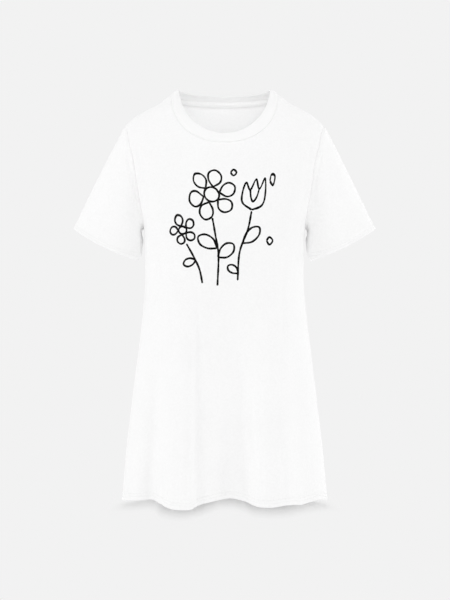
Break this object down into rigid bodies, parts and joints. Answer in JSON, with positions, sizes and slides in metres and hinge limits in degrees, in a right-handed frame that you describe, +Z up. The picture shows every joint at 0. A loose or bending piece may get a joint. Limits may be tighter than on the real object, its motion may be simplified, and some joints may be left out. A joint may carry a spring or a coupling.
{
  "type": "t-shirt dress",
  "caption": "Hollow short-sleeved t-shirt dress in cotton jersey, flared towards an open hem, with a ribbed round neckband and set-in sleeves.",
  "frame": {"origin": "midway between the two points where the shoulder seams meet the neckband, about where a wearer's shoulders carry the dress", "axes": "+Z up, front of the dress towards -Y, +X to the right of someone looking at the front"},
  "size_m": [0.629, 0.3343, 0.8661],
  "materials": {
    "jersey": "matt",
    "rib": "matt"
  },
  "bodies": {
    "root": {"front_panel": "jersey", "back_panel": "jersey", "sleeve_left": "jersey", "sleeve_right": "jersey", "neckband": "rib", "neck_tape": "jersey"}
  },
  "joints": []
}
